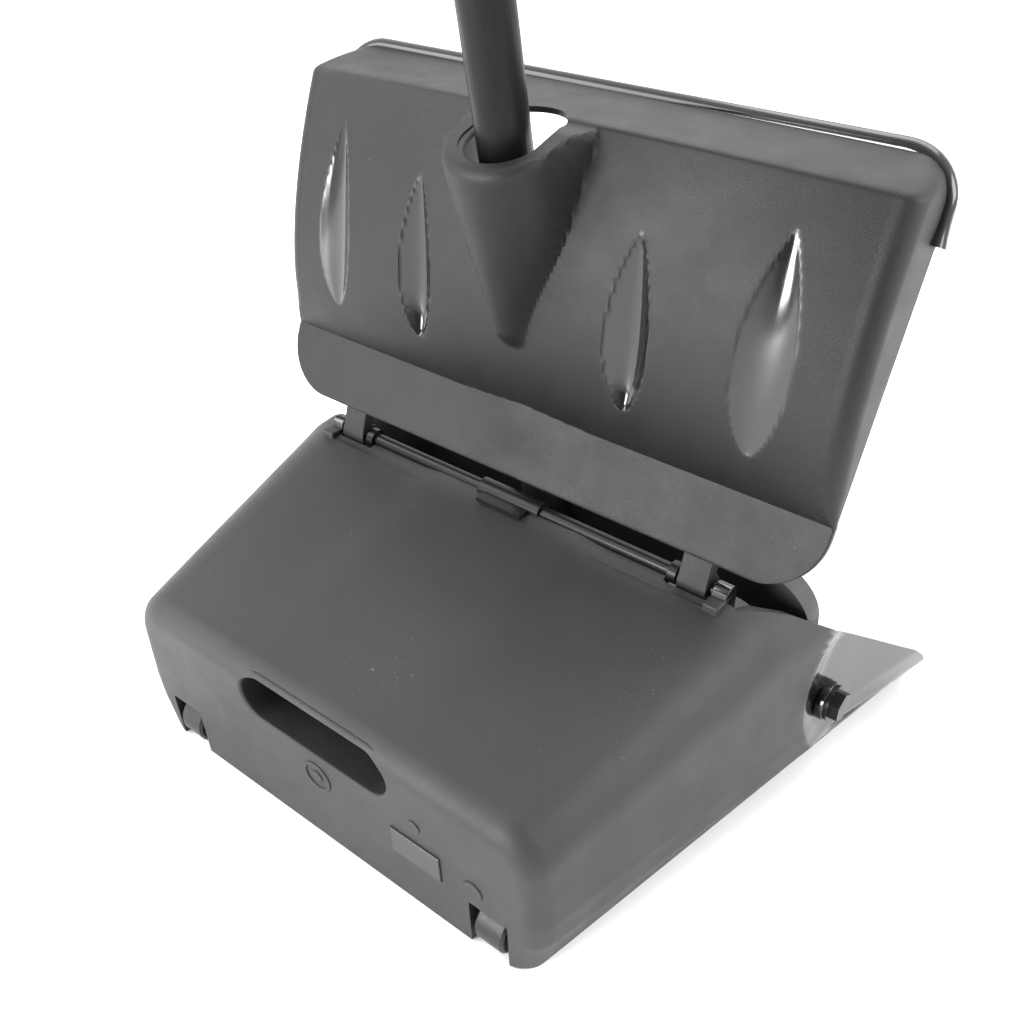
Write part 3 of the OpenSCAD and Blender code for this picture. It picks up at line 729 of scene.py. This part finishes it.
def lid_grid():
    us = np.concatenate([[APRON_U, APRON_U + 0.25, APRON_U + 0.8], np.linspace(APRON_U + 1.8, 34, 10),
                         np.linspace(34.6, 47, 24), np.linspace(47.6, 60, 18), np.linspace(61, 150, 88),
                         np.linspace(151, 187.2, 46)])
    outer, inner = [], []
    # The back, and the same drawn in by the wall's thickness in every direction
    offsets = [(dx, du) for dx in (-2.5, -1.8, 0, 1.8, 2.5) for du in (-2.5, -1.8, 0, 1.8, 2.5)
               if math.hypot(dx, du) <= WALL]
    for k, u in enumerate(us):
        w = float(lid_width(np.array(u)))
        soften = {0: 1.2, 1: 0.5, 2: 0.12}.get(k, 0.0)
        w_top = float(lid_back(np.array([w]), np.array([u]))[0]) - soften
        r = min(9.0, max(0.5, (w_top - SKIRT_V) * 0.75)) if u > 44 else 0.8
        xs = np.linspace(w - r, -(w - r), ACROSS)
        vs = lid_back(xs, np.full_like(xs, u)) - soften
        ring = []
        base_v = SKIRT_V if u > 46 else APRON_V - APRON_T
        edge_v = float(vs[0]) - r
        for t in np.linspace(0, 1, SKIRT, endpoint=False):
            ring.append((w, u, base_v + (edge_v - base_v) * t))
        for a in np.linspace(0, math.pi / 2, ARC, endpoint=False):
            ring.append((w - r + r * math.cos(a), u, edge_v + r * math.sin(a)))
        mirrored_side = [(-x, uu, vv) for x, uu, vv in ring][::-1]
        ring = ring + [(x, u, v) for x, v in zip(xs, vs)] + mirrored_side
        outer.append([lid_point(*p) for p in ring])
        # Inside
        wi = w - WALL
        ui = min(max(u, APRON_U), 187.2 - WALL * 0.6 * (u > 170)) if u > 46 else u
        if u <= 46:
            inner_vs = np.full_like(xs, APRON_V - APRON_T)
            ring_in = []
            for t in np.linspace(0, 1, SKIRT + ARC, endpoint=False):
                ring_in.append((w - 0.05 - WALL * t, ui, APRON_V - APRON_T - 0.001 * t))
            xs_in = np.linspace(w - 0.05 - WALL, -(w - 0.05 - WALL), ACROSS)
            mirrored = [(-x, uu, vv) for x, uu, vv in ring_in][::-1]
            ring_in = ring_in + [(x, ui, v) for x, v in zip(xs_in, inner_vs)] + mirrored
        else:
            ri = max(0.6, r - WALL)
            xs_in = np.linspace(wi - ri, -(wi - ri), ACROSS)
            heights = [lid_back(xs_in + dx, np.full_like(xs_in, u + du))
                       - math.sqrt(max(0.0, WALL ** 2 - dx * dx - du * du)) for dx, du in offsets]
            inner_vs = np.minimum.reduce(heights)
            inner_vs = np.maximum(inner_vs, SKIRT_V + 0.4)
            top_in = float(inner_vs[0])
            ring_in = []
            edge_in = max(SKIRT_V + 0.2, top_in - ri)
            for t in np.linspace(0, 1, SKIRT, endpoint=False):
                ring_in.append((wi, ui, SKIRT_V + (edge_in - SKIRT_V) * t))
            for a in np.linspace(0, math.pi / 2, ARC, endpoint=False):
                ring_in.append((wi - ri + ri * math.cos(a), ui, edge_in + (top_in - edge_in) * math.sin(a)))
            mirrored = [(-x, uu, vv) for x, uu, vv in ring_in][::-1]
            ring_in = ring_in + [(x, ui, v) for x, v in zip(xs_in, inner_vs)] + mirrored
        inner.append([lid_point(*p) for p in ring_in])
    return np.array(outer), np.array(inner)


def slot_cutter(name, tilt, back, half, ahead, z0, z1, flare=0.0):
    """A stadium-shaped cutter along the collar's slot, flared where it comes out on top."""
    yc = PIVOT_Y - COLLAR_T * math.sin(LEAN)
    zc = PIVOT_Z + COLLAR_T * math.cos(LEAN)
    c, s = math.cos(tilt), math.sin(tilt)
    rings = []
    steps = [(z0, 0.0), (1.2 - flare, 0.0)]
    if flare:
        steps += [(1.2 - flare + flare * math.sin(math.radians(a)), flare * (1 - math.cos(math.radians(a))))
                  for a in range(15, 91, 15)]
    steps.append((z1, flare))
    for z, grow in steps:
        ring = []
        for a, b in stadium((back + ahead) / 2 + grow, half + grow, 96):
            y_local, x = a + (ahead - back) / 2, b
            ring.append((x, yc + y_local * c - z * s, zc + y_local * s + z * c))
        rings.append(ring)
    return rings_solid(name, rings)


def sweep(name, path, radius, material, count=14):
    """A round bead along a path of points, its radius changing along it where radius is a function."""
    path = [Vector(p) for p in path]
    rings = []
    for k in range(len(path)):
        ahead = path[min(k + 1, len(path) - 1)] - path[max(k - 1, 0)]
        ahead.normalize()
        side = ahead.cross(Vector((0, -math.sin(LID_ANGLE), math.cos(LID_ANGLE)))).normalized()
        up = side.cross(ahead).normalized()
        r = radius(k / (len(path) - 1)) if callable(radius) else radius
        rings.append([tuple(path[k] + side * (r * a) + up * (r * b)) for a, b in circle(1.0, count)])
    return rings_solid(name, rings, material)


def build_lid():
    outer, inner = lid_grid()
    lid = shell("lid_shell", outer, inner, LID_SKIN)
    adds, cuts = [], []
    for s in (-1, 1):
        x0, x1 = sorted((s * 94.2, s * 108.6))
        adds.append(bar_x(f"lug_eye{s}", x0, x1, HINGE_FOOT_Y, HINGE_Z, 6.2, 48, 0.4))
        rings = []
        for x, g in ((x0, 0.5), (x0 + 0.5, 0.0), (x1 - 0.5, 0.0), (x1, 0.5)):
            rings.append([lid_point(x, u, v) for u, v in ((0, 0.3 + g), (24, 0.3 + g), (27, 5.9), (27, 8.2),
                                                         (24, 8.4 - g), (0, 6.2 - g))])
        adds.append(rings_solid(f"lug_arm{s}", rings))
    combine(lid, adds, "UNION")
    cuts.append(slot_cutter("slot", SLOT_TILT, SLOT_BACK, SLOT_HALF, SLOT_AHEAD, -75, 40, 3.0))
    cuts.append(slot_cutter("tube_way", LEAN, SLOT_BACK - 4.2, SLOT_HALF - 2.4, SLOT_AHEAD - 2.4, -120, 0))
    cuts.append(bar_x("rod_way", -120, 120, HINGE_FOOT_Y, HINGE_Z, ROD_R + 0.05))
    combine(lid, cuts, "DIFFERENCE")
    lid.name = "lid_looks"

    def polished(x, y, z):
        u, v = lid_coords(y, z)
        _, inside = dimple(x, u)
        outside = v > hood_back(x, u) - 13
        return ease(inside / 0.9 + 0.3) * outside

    paint_polish(lid, polished)
    finish_shading(lid)
    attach(lid, "lid")
    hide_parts("lid")
    # The rolled edge along the free end, wrapped round both corners
    path = []
    w = LID_HALF - 1.2
    corner_u, r = LID_LENGTH - CORNER_R, CORNER_R
    v0 = 9.4
    for u in (corner_u - 13, corner_u - 9, corner_u - 4):
        path.append(lid_point(w, u, v0 - 0.6))
    for a in np.linspace(0, math.pi / 2, 14):
        path.append(lid_point(w - r + r * math.cos(a), corner_u + (r - 1.8) * math.sin(a), v0))
    for x in np.linspace(w - r - 6, -(w - r - 6), 60):
        path.append(lid_point(x, LID_LENGTH - 1.8, v0))
    left = [(-p[0], p[1], p[2]) for p in path[:17]][::-1]
    path = path + left
    rim = sweep("lid_rim", path, lambda t: 4.3 + 1.3 * math.exp(-((min(t, 1 - t)) / 0.012) ** 2), GLOSS, 18)
    finish_shading(rim, 50)
    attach(rim, "lid")
    return lid


pan = build_pan()
lid = build_lid()

# ---- Stage ------------------------------------------------------------------------------------


def build_stage():
    floor_mat = Nodes("stage_white")
    paper = floor_mat.noise(30.0, 3.0, 0.5)
    floor_mat.link(floor_mat.mix(paper, grey(0.90, (1, 1, 1)), grey(0.93, (1, 1, 1))),
                   floor_mat.shader.inputs["Base Color"])
    floor_mat.shader.inputs["Roughness"].default_value = 0.8
    size, floor_z = 12.0, -0.0004
    mesh = bpy.data.meshes.new("stage_floor")
    mesh.from_pydata([(-size, -size, floor_z), (size, -size, floor_z), (size, size, floor_z),
                      (-size, size, floor_z)], [], [(0, 1, 2, 3)])
    mesh.materials.append(floor_mat.mat)
    floor = bpy.data.objects.new("stage_floor", mesh)
    bpy.context.scene.collection.objects.link(floor)
    world = bpy.data.worlds.new("stage_world")
    world.use_nodes = True
    tree = world.node_tree
    back = tree.nodes["Background"]
    # A bright tent, dimmer towards the side the viewer stands on
    coords = tree.nodes.new("ShaderNodeTexCoord")
    dot = tree.nodes.new("ShaderNodeVectorMath")
    dot.operation = "DOT_PRODUCT"
    dot.inputs[1].default_value = Vector((0.35, -0.85, 0.35)).normalized()
    ramp = tree.nodes.new("ShaderNodeMapRange")
    ramp.inputs["From Min"].default_value = 0.35
    ramp.inputs["From Max"].default_value = 0.95
    ramp.inputs["To Min"].default_value = 1.8
    ramp.inputs["To Max"].default_value = 0.22
    tree.links.new(coords.outputs["Generated"], dot.inputs[0])
    tree.links.new(dot.outputs["Value"], ramp.inputs["Value"])
    tree.links.new(ramp.outputs["Result"], back.inputs["Strength"])
    back.inputs["Color"].default_value = (1, 1, 1, 1)
    bpy.context.scene.world = world
    bpy.context.scene.view_settings.view_transform = "Standard"
    for name, at, energy, size_m in (("key", (-1.5, -1.3, 1.7), 42, 1.3), ("side", (1.9, 0.7, 1.2), 46, 1.2),
                                     ("top", (-0.2, 1.1, 2.2), 40, 1.6),
                                     ("front", (-0.5, -2.0, 0.55), 70, 0.8)):
        light = bpy.data.lights.new(name, "AREA")
        light.energy = energy
        light.size = size_m
        ob = bpy.data.objects.new(name, light)
        ob.location = at
        ob.rotation_mode = "QUATERNION"
        ob.rotation_quaternion = (Vector((0, 0, 0.15)) - Vector(at)).to_track_quat("-Z", "Y")
        bpy.context.scene.collection.objects.link(ob)


def build_camera():
    azimuth, elevation, roll = math.radians(38.22), math.radians(33.84), math.radians(-0.75)
    right = Vector((math.cos(azimuth), math.sin(azimuth), 0))
    look = Vector((-math.sin(azimuth) * math.cos(elevation), math.cos(azimuth) * math.cos(elevation),
                   -math.sin(elevation)))
    up = right.cross(look)
    c, s = math.cos(roll), math.sin(roll)
    right, up = c * right - s * up, s * right + c * up
    data = bpy.data.cameras.new("camera")
    data.sensor_width = 36
    data.lens = 39.0
    cam = bpy.data.objects.new("camera", data)
    turn = Matrix((right, up, -look)).transposed()
    cam.matrix_world = Matrix.Translation((0.2730, -0.3499, 0.4072)) @ turn.to_4x4()
    data.clip_start = 0.02
    bpy.context.scene.collection.objects.link(cam)
    bpy.context.scene.camera = cam


build_stage()
build_camera()
